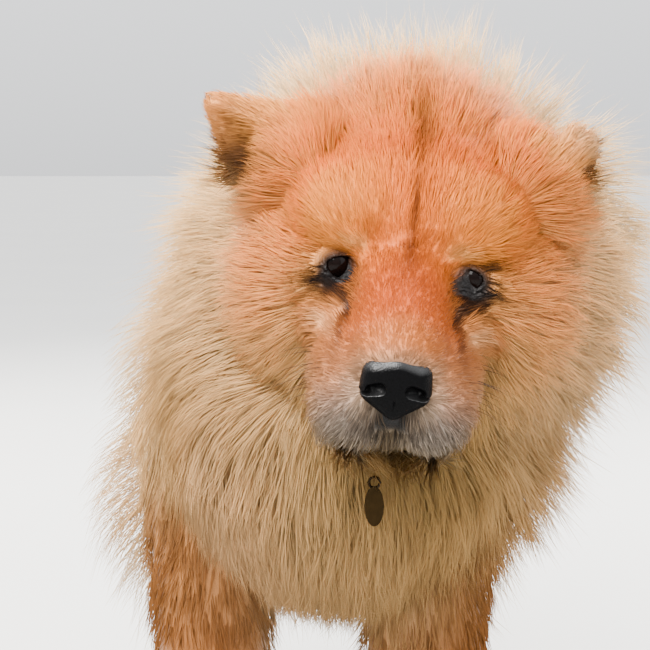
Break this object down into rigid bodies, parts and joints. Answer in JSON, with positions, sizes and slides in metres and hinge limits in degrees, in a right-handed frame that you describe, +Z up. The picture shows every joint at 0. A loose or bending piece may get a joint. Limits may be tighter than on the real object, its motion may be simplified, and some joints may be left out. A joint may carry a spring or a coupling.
{
  "type": "chow chow dog",
  "caption": "Still life-size model of a rough-coated chow chow standing square, head slightly lowered and tilted, with a deep ruff, curled plumed tail and trousers.",
  "frame": {"origin": "on the floor under the middle of the whole model's box", "axes": "+Z up; the dog faces -Y; +X is the dog's left side"},
  "size_m": [0.4262, 0.7196, 0.6565],
  "materials": {
    "face_coat": "dense red-orange fur, greyer on the muzzle",
    "body_coat": "long cream and pale gold fur",
    "leg_coat": "short to medium red-brown fur",
    "eye": "wet dark brown eye",
    "nose_leather": "moist pebbled black nose leather",
    "tag": "dull darkened metal, blank"
  },
  "bodies": {
    "root": {"head": "face_coat", "ear_left": "face_coat", "ear_right": "face_coat", "eye_left": "eye", "eye_right": "eye", "nose": "nose_leather", "neck": "body_coat", "torso": "body_coat", "tail": "body_coat", "foreleg_left": "leg_coat", "foreleg_right": "leg_coat", "hind_leg_left": "leg_coat", "hind_leg_right": "leg_coat", "tag": "tag"}
  },
  "joints": []
}
